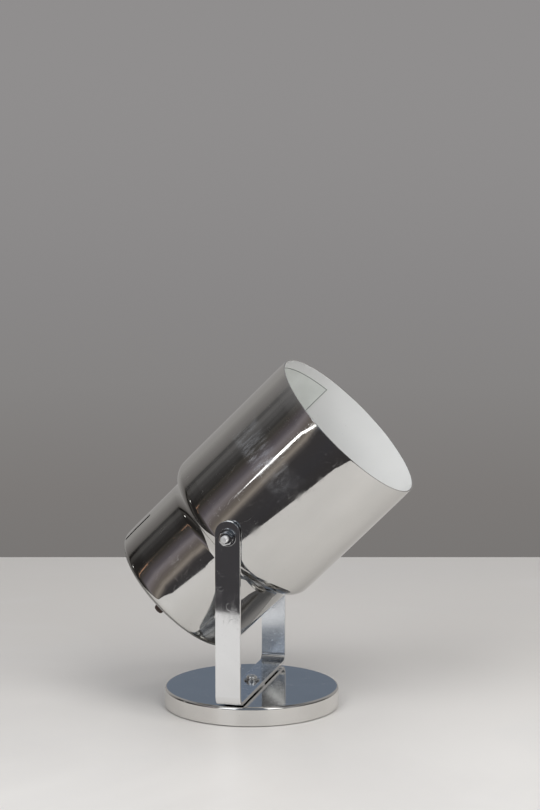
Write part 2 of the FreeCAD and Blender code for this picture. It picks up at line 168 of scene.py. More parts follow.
def outwards(side):
    # turns a piece made along Z so that its Z points out of the lamp's side, +1 or -1 along Y
    return Matrix.Rotation(math.radians(-90 * side), 4, "X")


def finished(bm, name, body, finishes, nodes, place=upright, sharpAngle=32.0):
    # puts a piece in its place in metres, gives it its finishes, shades it, hangs it on its body and hides the model's
    # nodes that it stands for
    placed(bm, Matrix.Scale(0.001, 4) @ place)
    for face in bm.faces:
        face.smooth = True
    for edge in bm.edges:
        edge.smooth = len(edge.link_faces) == 2 and edge.calc_face_angle(0) < math.radians(sharpAngle)
    mesh = shapeOf(bm)
    mesh.name = name
    for finish in finishes:
        mesh.materials.append(finish)
    piece = inScene(name, mesh)
    normals = piece.modifiers.new("even normals", "WEIGHTED_NORMAL")
    normals.keep_sharp = True
    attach(piece, body)
    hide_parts(*nodes)


def onHead(bm, name, finish, node, sharpAngle=32.0):
    finished(bm, name, "head", [finish], [node], leaned, sharpAngle)


# ---- shader helpers

class Signal:
    # an output of a node that sums can be written with
    def __init__(self, sheet, socket):
        self.sheet = sheet
        self.socket = socket

    def maths(self, operation, *values):
        return self.sheet.add("ShaderNodeMath", {"operation": operation}, dict(enumerate(values)))

    def other(self, output):
        # another output of the same node
        return Signal(self.sheet, self.socket.node.outputs[output])

    def __add__(self, other):
        return self.maths("ADD", self, other)

    def __radd__(self, other):
        return self.maths("ADD", other, self)

    def __sub__(self, other):
        return self.maths("SUBTRACT", self, other)

    def __rsub__(self, other):
        return self.maths("SUBTRACT", other, self)

    def __mul__(self, other):
        return self.maths("MULTIPLY", self, other)

    def __rmul__(self, other):
        return self.maths("MULTIPLY", other, self)

    def __truediv__(self, other):
        return self.maths("DIVIDE", self, other)

    def __abs__(self):
        return self.maths("ABSOLUTE", self)


class Sheet:
    # the nodes of one finish, or of the room
    def __init__(self, owner, shader="Principled BSDF"):
        owner.use_nodes = True
        self.owner = owner
        self.tree = owner.node_tree
        self.shader = self.tree.nodes[shader]

    def add(self, kind, settings=None, inputs=None, output=0):
        node = self.tree.nodes.new(kind)
        for key, value in (settings or {}).items():
            if key == "stops":
                ramp = node.color_ramp
                while len(ramp.elements) > len(value):
                    ramp.elements.remove(ramp.elements[-1])
                while len(ramp.elements) < len(value):
                    ramp.elements.new(1.0)
                for element, (position, colour) in zip(ramp.elements, value):
                    element.position = position
                    element.color = (*colour, 1.0)
            else:
                setattr(node, key, value)
        for key, value in (inputs or {}).items():
            self.put(node.inputs[key], value)
        return Signal(self, node.outputs[output])

    def put(self, socket, value):
        if isinstance(value, Signal):
            self.tree.links.new(value.socket, socket)
        else:
            socket.default_value = value

    def set(self, **values):
        # constants and signals for the shader's sockets, with _ for a space
        for key, value in values.items():
            self.put(self.shader.inputs[key.replace("_", " ")], value)

    def point(self, turnY=0.0, offset=(0, 0, 0)):
        where = self.add("ShaderNodeTexCoord", output=3)
        return self.add("ShaderNodeMapping", {}, {"Vector": where, "Location": offset,
                                                  "Rotation": (0, math.radians(turnY), 0)})

    def axes(self, vector):
        first = self.add("ShaderNodeSeparateXYZ", {}, {"Vector": vector})
        return first, first.other(1), first.other(2)

    def dot(self, first, second):
        return self.add("ShaderNodeVectorMath", {"operation": "DOT_PRODUCT"}, {0: first, 1: second}, 1)

    def ramp(self, stops, factor):
        return self.add("ShaderNodeValToRGB", {"stops": stops}, {"Fac": factor})

    def roundHead(self, point):
        # the angle from the head's top side, in radians, and the station along its axis
        across, aside, station = self.axes(point)
        return aside.maths("ARCTAN2", aside, 0.0 - across), station

    def stretched(self, point, scale, turn=(0, 0, 0)):
        return self.add("ShaderNodeMapping", {}, {"Vector": point, "Scale": scale, "Rotation": turn})

    def noise(self, point, scale, detail=2.0, roughness=0.5, distortion=0.0):
        return self.add("ShaderNodeTexNoise", {"noise_dimensions": "3D"},
                        {"Vector": point, "Scale": scale, "Detail": detail, "Roughness": roughness,
                         "Distortion": distortion})

    def between(self, signal, low, high, first=0.0, last=1.0):
        return self.add("ShaderNodeMapRange", {"interpolation_type": "SMOOTHSTEP", "clamp": True},
                        {"Value": signal, "From Min": low, "From Max": high, "To Min": first, "To Max": last})

    def mixed(self, factor, first, second):
        colours = [value if isinstance(value, Signal) else (*value, 1.0) for value in (first, second)]
        return self.add("ShaderNodeMix", {"data_type": "RGBA"}, {0: factor, 6: colours[0], 7: colours[1]}, 2)

    def bump(self, height, strength, distance, normal=None):
        inputs = {"Height": height, "Strength": strength, "Distance": distance}
        if normal is not None:
            inputs["Normal"] = normal
        return self.add("ShaderNodeBump", {}, inputs)

    def hairlines(self, point, scale, turn, width):
        # fine scratches: thin contour lines of a stretched noise, broken up along their length
        along = self.stretched(point, scale, turn)
        field = self.noise(along, 1.0, 1.0, 0.4)
        line = 1.0 - self.between(abs(field - 0.5), 0.0, width)
        broken = self.between(self.noise(self.stretched(point, (160, 160, 160), turn), 1.0, 2.0), 0.52, 0.62)
        return line * broken


def toned(colour, factor, lift=0.0):
    return tuple(min(1.0, c * factor + lift) for c in colour)


headTurn = -lamp["tilt"]
headOffset = tuple(-(leaned.to_3x3().inverted() @ Vector((0, 0, lamp["pivotHeight"] * 0.001))))


def chromePlate(name, colour, turnY=0.0, offset=(0, 0, 0), spun=1.0, wear=1.0, wave=0.00006, seed=0.0, haze=0.0,
                scuff=None):
    # mirror plating: clouds, smudges, dust and hairlines; haze is for a duller side, scuff for one worn place
    sheet = Sheet(bpy.data.materials.new(name))
    point = sheet.point(turnY, (offset[0], offset[1], offset[2] + seed))
    cloud = sheet.noise(point, 38.0, 4.0, 0.55)
    smudge = sheet.between(sheet.noise(point, 75.0, 3.0, 0.6, 0.4), 0.52, 0.75)
    specks = sheet.between(sheet.noise(point, 1500.0, 1.0, 0.5), 0.76, 0.80)
    specks = specks * sheet.between(sheet.noise(point, 260.0, 2.0, 0.5), 0.50, 0.62)
    lines = sheet.hairlines(point, (900, 160, 60), (0.3, 0.2, 0.9), 0.006)
    lines = lines + sheet.hairlines(point, (120, 1000, 90), (1.1, 0.5, 0.2), 0.005)
    lines = lines + sheet.hairlines(point, (70, 140, 1100), (0.2, 0.9, 0.4), 0.005)
    rough = 0.028 + haze + 0.03 * sheet.between(cloud, 0.35, 0.7) + 0.075 * wear * smudge + 0.22 * wear * lines
    rough = rough + 0.4 * specks
    tint = sheet.mixed(sheet.between(cloud, 0.3, 0.72), toned(colour, 0.955), colour)
    tint = sheet.mixed(specks * 0.75, tint, (0.16, 0.14, 0.12))
    tint = sheet.mixed(lines * (0.35 * wear), tint, toned(colour, 1.12))
    metal = 1.0
    if haze > 0:
        grain = sheet.between(sheet.noise(point, 2200.0, 3.0, 0.7), 0.42, 0.7)
        rough = rough + haze * grain
        tint = sheet.mixed(grain * 0.4, tint, toned(colour, 0.55))
    if scuff:
        # a rubbed place, by its angle from the top and its station, that has lost some of its polish
        angle, station = sheet.roundHead(point)
        spread = abs(angle * (180 / math.pi) - scuff["angle"]) / scuff["halfAngle"]
        length = abs(station - scuff["station"] * 0.001) / (scuff["half"] * 0.001)
        patch = 1.0 - sheet.between(spread.maths("MAXIMUM", spread, length), 0.45, 1.0)
        rubs = sheet.noise(sheet.stretched(point, (260, 900, 90), (0.4, 0.0, 0.5)), 1.0, 3.0, 0.6)
        patch = patch * (0.15 + 0.85 * sheet.between(rubs, 0.42, 0.66))
        rough = rough + scuff["rough"] * patch
        tint = sheet.mixed(patch * 0.5, tint, (0.80, 0.84, 0.92))
        metal = 1.0 - scuff["film"] * patch
    normal = sheet.bump(sheet.noise(point, 26.0, 2.0, 0.45), 1.0, wave)
    if spun > 0:
        grooves = sheet.noise(sheet.stretched(point, (4, 4, 900)), 1.0, 2.0, 0.6)
        normal = sheet.bump(grooves, 0.18 * spun, 0.00002, normal)
    normal = sheet.bump(specks + 0.4 * lines, 0.25, 0.00003, normal)
    sheet.set(Base_Color=tint, Metallic=metal, Roughness=rough, Normal=normal)
    return sheet.owner


def whiteEnamel(name):
    sheet = Sheet(bpy.data.materials.new(name))
    point = sheet.point(headTurn, headOffset)
    broad = sheet.noise(point, 22.0, 3.0, 0.5)
    fine = sheet.noise(point, 420.0, 2.0, 0.5)
    dust = sheet.between(sheet.noise(point, 900.0, 1.0, 0.5), 0.74, 0.80)
    tint = sheet.mixed(sheet.between(broad, 0.3, 0.7), (0.64, 0.64, 0.63), (0.69, 0.69, 0.68))
    tint = sheet.mixed(dust * 0.25, tint, (0.42, 0.41, 0.38))
    rough = 0.34 + 0.16 * sheet.between(broad, 0.35, 0.7) + 0.1 * dust
    normal = sheet.bump(fine, 0.12, 0.00004)
    normal = sheet.bump(broad, 0.4, 0.0001, normal)
    sheet.set(Base_Color=tint, Roughness=rough, Normal=normal, Coat_Weight=0.12)
    return sheet.owner


def plainMetal(name, colour, roughness, turnY=0.0, offset=(0, 0, 0), grain=(300, 300, 300), dull=0.1, dirt=0.3,
               metal=1.0):
    # plated or machined metal: fine grain, duller patches and dark marks
    sheet = Sheet(bpy.data.materials.new(name))
    point = sheet.point(turnY, offset)
    patch = sheet.noise(point, 90.0, 4.0, 0.6)
    lines = sheet.noise(sheet.stretched(point, grain), 1.0, 2.0, 0.6)
    marks = sheet.between(sheet.noise(point, 700.0, 2.0, 0.5), 0.6, 0.72)
    tint = sheet.mixed(sheet.between(patch, 0.3, 0.7), toned(colour, 0.86), colour)
    tint = sheet.mixed(marks * dirt, tint, toned(colour, 0.35))
    rough = roughness + dull * patch + 0.12 * marks
    normal = sheet.bump(lines, 0.25, 0.00003)
    normal = sheet.bump(patch, 0.3, 0.00004, normal)
    sheet.set(Base_Color=tint, Metallic=metal, Roughness=rough, Normal=normal)
    return sheet.owner


def moulded(name, colour, roughness, second=None, scale=60.0, grain=0.2, grainSize=900.0, coat=0.0, wear=0.2):
    # moulded, fired or cast material: clouded colour, fine grain and rubbed spots
    sheet = Sheet(bpy.data.materials.new(name))
    point = sheet.point()
    cloud = sheet.noise(point, scale, 4.0, 0.55, 0.3)
    fine = sheet.noise(point, grainSize, 3.0, 0.6)
    rubbed = sheet.between(sheet.noise(point, 180.0, 3.0, 0.6), 0.55, 0.72)
    tint = sheet.mixed(sheet.between(cloud, 0.3, 0.7), second or toned(colour, 0.8), colour)
    tint = sheet.mixed(rubbed * wear, tint, toned(colour, 1.5, 0.02))
    rough = roughness + 0.12 * cloud + 0.1 * rubbed
    normal = sheet.bump(fine, grain, 0.00006)
    sheet.set(Base_Color=tint, Roughness=rough, Normal=normal, Coat_Weight=coat)
    return sheet.owner


def labelPaper(name):
    # a blank paper label with a plain thin border
    sheet = Sheet(bpy.data.materials.new(name))
    point = sheet.point(headTurn, headOffset)
    angle, station = sheet.roundHead(point)
    edge = labelSizes["edge"] * 0.001
    line = labelSizes["line"] * 0.001
    radius = (lamp["shadeRadius"] - lamp["wall"]) * 0.001
    fromSide = radius * (math.radians(labelSizes["lastAngle"]) - angle)
    fromOther = radius * (angle - math.radians(labelSizes["firstAngle"]))
    fromFront = labelSizes["front"] * 0.001 - station
    fromRear = station - labelSizes["rear"] * 0.001
    nearest = fromSide.maths("MINIMUM", fromSide, fromOther)
    nearest = nearest.maths("MINIMUM", nearest, fromFront.maths("MINIMUM", fromFront, fromRear))
    border = 1.0 - sheet.between(abs(nearest - edge), line * 0.4, line * 0.6)
    fibre = sheet.noise(point, 1400.0, 3.0, 0.6)
    stain = sheet.noise(point, 60.0, 3.0, 0.5)
    tint = sheet.mixed(sheet.between(stain, 0.3, 0.75), (0.61, 0.63, 0.60), (0.67, 0.69, 0.66))
    tint = sheet.mixed(sheet.between(fibre, 0.35, 0.8) * 0.25, tint, (0.54, 0.555, 0.525))
    tint = sheet.mixed(border * 0.8, tint, (0.05, 0.055, 0.055))
    sheet.set(Base_Color=tint, Roughness=0.62 + 0.2 * fibre, Normal=sheet.bump(fibre, 0.3, 0.00004))
    return sheet.owner


def bulbGlass(name):
    # silvered reflector behind, frosted face in front
    sheet = Sheet(bpy.data.materials.new(name))
    point = sheet.point(headTurn, headOffset)
    station = sheet.axes(point)[2]
    frost = bulbSizes["frost"] * 0.001
    fade = bulbSizes["frostFade"] * 0.001
    frosted = sheet.between(station, frost - fade, frost + fade)
    cloud = sheet.noise(point, 70.0, 3.0, 0.5)
    fine = sheet.noise(point, 1100.0, 2.0, 0.5)
    face = sheet.mixed(sheet.between(cloud, 0.3, 0.7), (0.80, 0.80, 0.775), (0.87, 0.87, 0.85))
    silver = sheet.mixed(sheet.between(cloud, 0.3, 0.7), (0.60, 0.60, 0.59), (0.70, 0.70, 0.69))
    rough = sheet.between(cloud, 0.2, 0.8, 0.10, 0.18) + 0.22 * frosted
    sheet.set(Base_Color=sheet.mixed(frosted, silver, face), Metallic=1.0 - frosted, Roughness=rough,
              Normal=sheet.bump(fine * frosted + cloud, 0.12, 0.00006), Coat_Weight=0.35 - 0.2 * frosted)
    return sheet.owner


def felt(name):
    sheet = Sheet(bpy.data.materials.new(name))
    point = sheet.point()
    fibres = sheet.noise(sheet.stretched(point, (900, 900, 2200)), 1.0, 5.0, 0.7, 1.5)
    patches = sheet.noise(point, 50.0, 3.0, 0.5)
    tint = sheet.mixed(sheet.between(fibres, 0.3, 0.75), (0.022, 0.022, 0.024), (0.085, 0.085, 0.09))
    tint = sheet.mixed(sheet.between(patches, 0.4, 0.8) * 0.3, tint, (0.12, 0.115, 0.11))
    sheet.set(Base_Color=tint, Roughness=0.9 + 0.08 * fibres, Normal=sheet.bump(fibres, 0.8, 0.0002))
    sheet.set(Sheen_Weight=0.25)
    return sheet.owner


labelSizes = {"front": 74.2, "rear": 44.0, "firstAngle": -18.0, "lastAngle": 60.0, "edge": 0.7, "line": 0.45,
              "thickness": 0.12, "steps": 52}
bulbSizes = {"front": 55.0, "radius": 25.0, "neck": 12.5, "frost": 45.0, "frostFade": 0.6, "inCap": 11.8,
             "faceRadius": 17.0, "steps": 96}

rubbedPlace = {"angle": -68.0, "halfAngle": 34.0, "station": 44.0, "half": 11.0, "rough": 0.12, "film": 0.12}
canChrome = chromePlate("canChrome", (0.655, 0.65, 0.635), headTurn, headOffset, scuff=rubbedPlace)
yokeChrome = chromePlate("yokeChrome", (0.80, 0.805, 0.81), spun=0.0, wear=0.8, wave=0.00004, seed=0.4)
yokeDull = chromePlate("yokeDull", (0.78, 0.81, 0.85), spun=0.0, wear=1.0, wave=0.00001, seed=0.6, haze=0.09)
footChrome = chromePlate("footChrome", (0.77, 0.76, 0.74), spun=0.5, wear=1.0, wave=0.00003, seed=0.8)
enamel = whiteEnamel("whiteEnamel")
bareSteel = plainMetal("bareSteel", (0.36, 0.355, 0.345), 0.35, headTurn, headOffset, (5, 5, 900), 0.2)
zincPlate = plainMetal("zincPlate", (0.62, 0.62, 0.61), 0.16, grain=(500, 500, 500), dull=0.12, dirt=0.4)
brightZinc = plainMetal("brightZinc", (0.76, 0.76, 0.75), 0.09, grain=(400, 400, 400), dull=0.08, metal=0.85)
whiteZinc = plainMetal("whiteZinc", (0.80, 0.80, 0.80), 0.24, grain=(400, 400, 400), metal=0.55)
darkNickel = plainMetal("darkNickel", (0.52, 0.525, 0.535), 0.05, grain=(120, 120, 120), dull=0.06)
bracketSteel = plainMetal("bracketSteel", (0.52, 0.52, 0.50), 0.26, headTurn, headOffset, (40, 900, 40), 0.15)
brass = plainMetal("brass", (0.66, 0.50, 0.24), 0.2, headTurn, headOffset, (20, 20, 1200), 0.15)
capMetal = plainMetal("capMetal", (0.66, 0.66, 0.65), 0.24, headTurn, headOffset, (20, 20, 1400), 0.15)
castIron = moulded("castIron", (0.06, 0.06, 0.062), 0.55, (0.035, 0.033, 0.032), 90.0, 0.9, 700.0, wear=0.3)
nylon = moulded("nylon", (0.66, 0.65, 0.60), 0.38, (0.58, 0.565, 0.50), 120.0, 0.15)
porcelain = moulded("porcelain", (0.80, 0.79, 0.75), 0.12, (0.74, 0.73, 0.68), 45.0, 0.08, 500.0, 0.6, 0.1)
phenolic = moulded("phenolic", (0.05, 0.042, 0.04), 0.35, (0.028, 0.024, 0.023), 140.0, 0.2)
knobBrown = moulded("knobBrown", (0.075, 0.040, 0.028), 0.24, (0.040, 0.022, 0.016), 160.0, 0.15, 1300.0, 0.3, 0.25)
leadCover = moulded("leadCover", (0.70, 0.69, 0.65), 0.45, (0.60, 0.585, 0.53), 200.0, 0.2)
rubber = moulded("rubber", (0.028, 0.027, 0.026), 0.5, (0.018, 0.018, 0.018), 150.0, 0.5, 1500.0)
paper = labelPaper("labelPaper")
glass = bulbGlass("bulbGlass")
feltBlack = felt("feltBlack")
print("finishes made")


# ---- cans

shadeSizes = {"rim": 79.9, "rimEdge": 0.22, "steps": 192, "endDrop": 0.2, "endLength": 5.0, "endCurve": 224.0,
              "backDrop": 0.2, "backLength": 5.0}
rearSizes = {"rear": -62.4, "edge": 4.25, "steps": 192, "slotWidth": 2.4, "slotStart": -59.0, "slotEnd": -37.5,
             "slotAngles": (-19.0, 0.0, 19.0), "outletAt": 27.0, "outletHole": 10.0, "flat": 8.0, "endDrop": 0.46,
             "endLength": 4.5, "neckRise": 0.16, "neckLength": 6.0, "curve": 160.0}
# the S-shaped step between the cans: the shade bends in as far as a seam, the rear can flares out under it
stepSizes = {"start": -4.4, "angle": 48.0, "bend": 7.995, "run": 0.2, "fit": 0.05, "sleeveEnd": -4.8,
             "seamEdge": 0.22}


def turnedIn(face):
    middle = face.calc_center_median()
    return face.normal.xy.dot(middle.xy) < 0 and face.normal.z > -0.1


def stepCorners():
    # the corners of both walls at the step; an inner face has its corner farther along by wall times reach
    s = stepSizes
    angle = math.radians(s["angle"])
    reach = math.tan(angle / 2)
    outer = lamp["shadeRadius"]
    corner = s["start"] - s["bend"] * reach
    run = s["bend"] * reach + s["run"]
    inset = lamp["wall"] + s["fit"]
    flare = outer - inset - lamp["rearRadius"]
    sleeveCorner = corner + inset * reach
    neckBend = flare / math.sin(angle) / reach - (s["bend"] - inset)
    return {"corner": corner, "rise": math.sin(angle), "along": math.cos(angle), "gain": lamp["wall"] * reach,
            "seamRadius": outer - run * math.sin(angle), "seam": corner - run * math.cos(angle),
            "sleeveRadius": outer - inset, "sleeveCorner": sleeveCorner, "sleeveBend": s["bend"] - inset,
            "neckCorner": sleeveCorner - flare / math.tan(angle), "neckBend": neckBend}


def makeShade():
    s = shadeSizes
    step = stepCorners()
    outer = lamp["shadeRadius"]
    wall = lamp["wall"]
    bend = stepSizes["bend"]
    rimRadius = outer - s["endDrop"]
    bm = turned([(rimRadius, s["rim"], s["rimEdge"]), (outer, s["rim"] - s["endLength"], s["endCurve"]),
                 (outer, stepSizes["start"] + s["backLength"], s["endCurve"]),
                 (outer - s["backDrop"], step["corner"], bend),
                 (step["seamRadius"], step["seam"], stepSizes["seamEdge"]),
                 (step["seamRadius"] - wall * step["along"], step["seam"] + wall * step["rise"], 0.1),
                 (outer - wall, step["corner"] + step["gain"], bend - wall),
                 (outer - wall, s["rim"] - s["endLength"], s["endCurve"]),
                 (rimRadius - wall, s["rim"], s["rimEdge"])], s["steps"], closed=True)
    for face in bm.faces:
        if turnedIn(face) and face.calc_center_median().z < s["rim"] - 0.3:
            face.material_index = 1
    finished(bm, "shade", "head", [canChrome, enamel], ["front_shade"], leaned)


def slotCutter(angle):
    s = rearSizes
    half = s["slotWidth"] / 2
    bm = bmesh.new()
    bmesh.ops.create_circle(bm, cap_ends=True, radius=half, segments=24)
    placed(bm, Matrix.Rotation(math.radians(90), 4, "Y"))
    upper = [vert for vert in bm.verts if vert.co.z > 0.001]
    bmesh.ops.translate(bm, vec=(0, 0, s["slotEnd"] - s["slotStart"] - s["slotWidth"]), verts=upper)
    bmesh.ops.translate(bm, vec=(-lamp["rearRadius"] - 3, 0, s["slotStart"] + half), verts=bm.verts[:])
    thickened(bm, (9, 0, 0))
    bmesh.ops.recalc_face_normals(bm, faces=bm.faces[:])
    return placed(bm, Matrix.Rotation(math.radians(angle), 4, "Z"))


def makeRearCan():
    s = rearSizes
    step = stepCorners()
    outer = lamp["rearRadius"]
    wall = lamp["wall"]
    inner = outer - wall
    sleeve = step["sleeveRadius"]
    endRadius = outer - s["endDrop"]
    neckStart = step["neckCorner"] - step["neckBend"] * math.tan(math.radians(stepSizes["angle"] / 2))
    bm = turned([(0, s["rear"], 0), (outer - s["flat"], s["rear"], 0),
                 (endRadius, s["rear"], s["edge"]), (outer, s["rear"] + s["edge"] + s["endLength"], s["curve"]),
                 (outer, neckStart - s["neckLength"], s["curve"]),
                 (outer + s["neckRise"], step["neckCorner"], step["neckBend"] * 0.97),
                 (sleeve, step["sleeveCorner"], step["sleeveBend"]),
                 (sleeve, 0, 0), (sleeve - wall, 0, 0),
                 (sleeve - wall, step["sleeveCorner"] + step["gain"], step["sleeveBend"] - wall),
                 (inner, step["neckCorner"] + step["gain"], step["neckBend"] + wall),
                 (inner, s["rear"] + wall, s["edge"] - wall), (0, s["rear"] + wall, 0)], s["steps"])
    whole = bm.verts[:] + bm.edges[:] + bm.faces[:]
    cut = bmesh.ops.bisect_plane(bm, geom=whole, dist=0.0001, plane_co=(0, 0, stepSizes["sleeveEnd"]),
                                 plane_no=(0, 0, 1), clear_outer=True)["geom_cut"]
    bmesh.ops.bridge_loops(bm, edges=only(cut, bmesh.types.BMEdge))
    bmesh.ops.recalc_face_normals(bm, faces=bm.faces[:])
    for angle in s["slotAngles"]:
        bm = cutAway(bm, slotCutter(angle))
    outlet = turned([(0, s["rear"] - 2, 0), (s["outletHole"] / 2, s["rear"] - 2, 0),
                     (s["outletHole"] / 2, s["rear"] + 3, 0), (0, s["rear"] + 3, 0)], 48)
    bm = cutAway(bm, placed(outlet, Matrix.Translation((s["outletAt"], 0, 0))))
    for face in bm.faces:
        middle = face.calc_center_median()
        if middle.z > s["rear"] + 0.3 and (turnedIn(face) or middle.xy.length < inner + 0.05):
            face.material_index = 1
    finished(bm, "rearCan", "head", [canChrome, bareSteel], ["rear_housing"], leaned)


makeShade()
makeRearCan()
print("cans made")


# ---- yoke and foot

yokeSizes = {"bend": 5.9, "top": 117.0, "edge": 0.18, "bendSteps": 14, "endSteps": 72}
footSizes = {"gauge": 1.2, "lift": 0.5, "edge": 1.7, "steps": 192, "spacer": 15.0, "spacerBore": 4.2}


def roundEnd(bm, y, height):
    # the half disc that closes an arm, with its straight edge at the given height
    half = lamp["stripWidth"] / 2
    matrix = Matrix.Translation((0, y, height)) @ Matrix.Rotation(math.radians(90), 4, "X")
    disc = bmesh.ops.create_circle(bm, cap_ends=True, radius=half, segments=yokeSizes["endSteps"], matrix=matrix)
    faces = {face for vert in disc["verts"] for face in vert.link_faces}
    edges = {edge for vert in disc["verts"] for edge in vert.link_edges}
    bmesh.ops.bisect_plane(bm, geom=list(disc["verts"]) + list(edges) + list(faces), dist=0.0001,
                           plane_co=(0, 0, height), plane_no=(0, 0, -1), clear_outer=True)
    return [edge for edge in bm.edges if all(abs(v.co.z - height) < 0.001 and abs(v.co.y - y) < 0.001
                                             for v in edge.verts)]


def drawn(bm, edges, vec):
    moved = bmesh.ops.extrude_edge_only(bm, edges=edges)["geom"]
    bmesh.ops.translate(bm, vec=vec, verts=only(moved, bmesh.types.BMVert))
    return only(moved, bmesh.types.BMEdge)


def bent(bm, edges, centre):
    verts = list({vert for edge in edges for vert in edge.verts})
    last = bmesh.ops.spin(bm, geom=verts + edges, cent=centre, axis=(1, 0, 0), dvec=(0, 0, 0),
                          angle=math.radians(90), steps=yokeSizes["bendSteps"], use_duplicate=False)["geom_last"]
    return only(last, bmesh.types.BMEdge)


def makeYoke():
    s = yokeSizes
    outer = lamp["armOuter"]
    endLine = s["top"] - lamp["stripWidth"] / 2
    bendHigh = lamp["stripLow"] + s["bend"]
    bm = bmesh.new()
    edges = roundEnd(bm, -outer, endLine)
    edges = drawn(bm, edges, (0, 0, bendHigh - endLine))
    edges = bent(bm, edges, (0, s["bend"] - outer, bendHigh))
    edges = drawn(bm, edges, (0, 2 * (outer - s["bend"]), 0))
    edges = bent(bm, edges, (0, outer - s["bend"], bendHigh))
    drawn(bm, edges, (0, 0, endLine - bendHigh))
    roundEnd(bm, outer, endLine)
    welded(bm, 0.001)
    floorFace = min(bm.faces, key=lambda face: face.calc_center_median().z)
    if floorFace.normal.z > 0:
        bmesh.ops.reverse_faces(bm, faces=bm.faces[:])
    bmesh.ops.solidify(bm, geom=bm.faces[:], thickness=lamp["stripGauge"])
    brokenEdges(bm, s["edge"], 3)
    bmesh.ops.recalc_face_normals(bm, faces=bm.faces[:])
    for face in bm.faces:
        # the side of the strip that faces the head was never polished as well as the outside
        middle = face.calc_center_median()
        inward = Vector((0, middle.y, middle.z - endLine)).dot(face.normal) < -0.5
        if inward and abs(middle.y) < outer - 0.5 * s["edge"]:
            face.material_index = 1
    finished(bm, "yokeStrip", "yoke", [yokeChrome, yokeDull], ["yoke"])


def makeFoot():
    s = footSizes
    radius = lamp["footRadius"]
    top = lamp["footTop"]
    inner = radius - s["gauge"]
    bm = turned([(0, top - s["gauge"], 0), (inner, top - s["gauge"], 0.4), (inner, s["lift"], 0.15),
                 (radius, s["lift"], 0.25), (radius, top, s["edge"]), (radius - 4, top, 0), (12, top, 0),
                 (0, top, 0)], s["steps"])
    finished(bm, "footCover", "foot", [footChrome], ["base_cover"])
    spacer = ring(s["spacer"], s["spacerBore"], top, lamp["stripLow"] - 0.05, 0.25)
    finished(spacer, "footSpacer", "foot", [brightZinc], ["yoke_spacer"])


makeYoke()
makeFoot()
print("yoke and foot made")


# ---- screws, nuts and washers

hardware = {
    "m4": {"shank": 4.0, "head": 7.6, "headHeight": 2.8, "flats": 7.0, "nutHeight": 3.2, "washer": 10.0,
           "washerGauge": 1.0, "lock": 7.4, "lockGauge": 1.1, "pitch": 0.7, "threaded": 5.5},
    "centre": {"shank": 4.0, "head": 6.2, "headHeight": 2.0, "washer": 9.0, "washerGauge": 0.8, "pitch": 0.7,
               "threaded": 6.0, "end": 1.7, "turn": 38.0},
    "m3": {"shank": 3.0, "head": 5.6, "headHeight": 2.2, "flats": 5.5, "nutHeight": 2.4, "pitch": 0.5},
    "clearance": 0.05,
    "pivotEnd": 8.3,
    "innerWasher": 9.0,
    "innerWasherGauge": 0.8,
    "innerWasherFace": 49.345,
    "nylonSpacer": 12.0,
}


def crossScrew(size, length, threaded):
    # the head's bearing face is at zero and the shank runs down, with its thread cut as fine grooves
    head = size["head"] / 2
    high = size["headHeight"]
    shank = size["shank"] / 2
    corners = [(0, -length, 0), (shank - 0.5, -length, 0), (shank, -length + 0.5, 0)]
    turns = int((threaded - 0.8) / size["pitch"])
    for index in range(turns):
        low = -length + 0.6 + index * size["pitch"]
        corners.append((shank - 0.32, low + size["pitch"] * 0.5, 0))
        corners.append((shank, low + size["pitch"], 0))
    corners += [(shank, 0, 0), (head, 0, 0.2), (head, high * 0.52, 0), (head * 0.93, high * 0.78, 0),
                (head * 0.74, high * 0.95, 0), (head * 0.45, high, 0), (0, high, 0)]
    bm = turned(corners, 64)
    for turn in (0, 90):
        slot = bmesh.new()
        bmesh.ops.create_cube(slot, size=1.0, matrix=Matrix.Diagonal((head * 1.2, head * 0.26, high * 1.2, 1)))
        bottom = [vert for vert in slot.verts if vert.co.z < 0]
        bmesh.ops.scale(slot, vec=(0.36, 0.7, 1), verts=bottom)
        placed(slot, Matrix.Rotation(math.radians(turn), 4, "Z") @ Matrix.Translation((0, 0, high)))
        bm = cutAway(bm, slot)
    return bm


def hexNut(flats, bore, low, high):
    # a bored and chamfered hexagon, drawn out ring by ring from its bore; no radius means out to the flats
    thread = bore / 2 - 0.25
    mouth = bore / 2 + 0.15
    face = flats * 0.475
    middle = (low + high) / 2
    bm = bmesh.new()
    bmesh.ops.create_circle(bm, cap_ends=False, radius=thread, segments=72,
                            matrix=Matrix.Translation((0, 0, middle)))
    rings = [(thread, high - 0.3), (mouth, high), (face, high), (None, high), (None, low), (face, low), (mouth, low),
             (thread, low + 0.3), (thread, middle)]
    edges = bm.edges[:]
    for radius, height in rings:
        pulled = bmesh.ops.extrude_edge_only(bm, edges=edges)["geom"]
        for vert in only(pulled, bmesh.types.BMVert):
            turn = math.atan2(vert.co.y, vert.co.x) % math.radians(60) - math.radians(30)
            reach = radius or flats / 2 / math.cos(turn)
            flat = vert.co.xy.normalized() * reach
            drop = 0.0 if radius else (reach - face) * 0.35
            vert.co = (flat.x, flat.y, height - drop if height == high else height + drop)
        edges = only(pulled, bmesh.types.BMEdge)
    return welded(bm)


def splitWasher(size, low):
    # a square wire turned nearly once, its ends a little out of line
    high = low + size["lockGauge"]
    outer = size["lock"] / 2
    inner = size["shank"] / 2 + 0.1
    bm = wire([(outer, low, 0.12), (outer, high, 0.12), (inner, high, 0.12), (inner, low, 0.12)], closed=True)
    bmesh.ops.contextual_create(bm, geom=bm.edges[:])
    swept(bm, 346, 60)
    return welded(bm)


def bothSides(make):
    return joined([placed(make(), outwards(side)) for side in (1, -1)])


